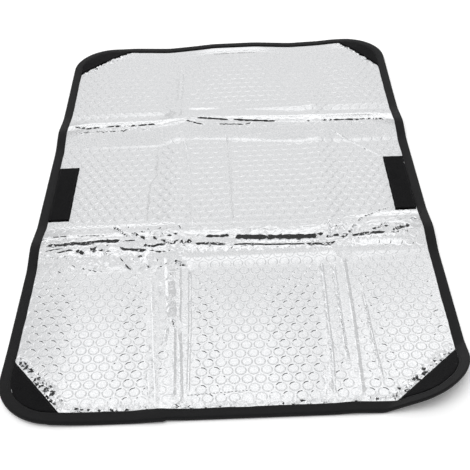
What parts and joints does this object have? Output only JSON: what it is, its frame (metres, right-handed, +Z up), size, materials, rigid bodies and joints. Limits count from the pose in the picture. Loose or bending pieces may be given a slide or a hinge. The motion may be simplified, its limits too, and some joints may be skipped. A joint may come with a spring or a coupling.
{
  "type": "camper van window shade",
  "caption": "Foldable silver foil bubble shade with a cloth back, taped edge and hook-and-loop patches, laid flat with its fold creases.",
  "frame": {"origin": "on the floor under the middle of the sheet's box", "axes": "+Y to the far short edge, +X to the right across the sheet, +Z up from the silver face"},
  "size_m": [0.405, 0.6276, 0.02],
  "materials": {
    "foil_film": "metallised film over bubbles, satin",
    "backing_cloth": "black plain-woven polyester",
    "edge_tape": "black woven binding tape, matt",
    "hook_and_loop": "black brushed loop, very matt"
  },
  "bodies": {
    "root": {"foil_bubble_panel": "foil_film", "backing_cloth": "backing_cloth", "edge_binding": "edge_tape", "corner_patch_top_left": "hook_and_loop", "corner_patch_top_right": "hook_and_loop", "corner_patch_bottom_left": "hook_and_loop", "corner_patch_bottom_right": "hook_and_loop", "side_patch_left": "hook_and_loop", "side_patch_right": "hook_and_loop", "back_patch_top": "hook_and_loop", "back_patch_bottom": "hook_and_loop"}
  },
  "joints": []
}
